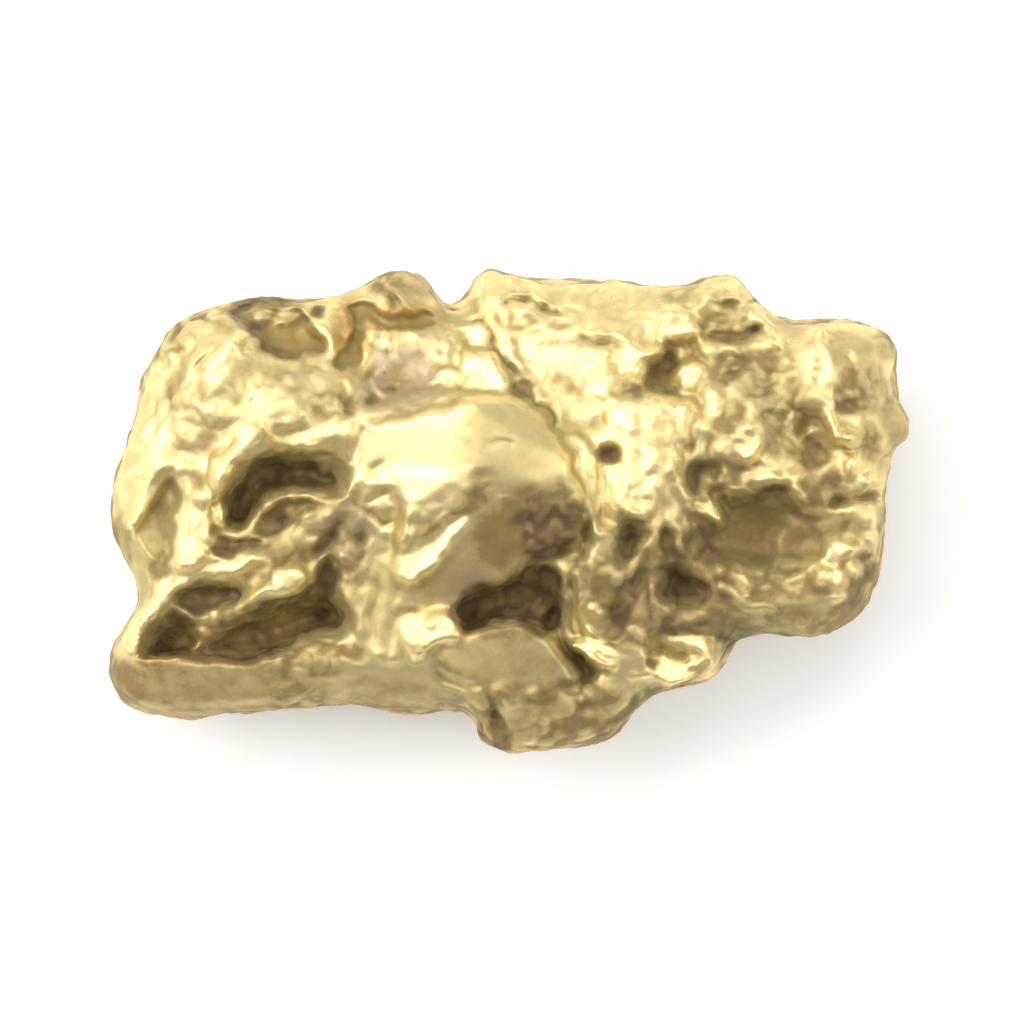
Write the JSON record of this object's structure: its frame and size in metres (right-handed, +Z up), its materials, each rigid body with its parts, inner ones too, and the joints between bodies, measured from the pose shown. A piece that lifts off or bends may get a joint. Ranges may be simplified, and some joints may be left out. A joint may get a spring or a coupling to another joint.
{
  "type": "gold nugget",
  "caption": "Natural gold nugget: a flattened, oblong lump of native metal with a deeply hollowed, knobbly upper face and worn rims.",
  "frame": {"origin": "under the middle of the nugget's box, on the surface it lies on", "axes": "+X along the nugget's length, +Y across its width, +Z up out of the hollowed face"},
  "size_m": [0.016, 0.0098, 0.0054],
  "materials": {
    "native_gold": "water-worn natural metal: satin on the knobs and rims, matt and iron-stained in the hollows"
  },
  "bodies": {
    "root": {"nugget": "native_gold"}
  },
  "joints": []
}
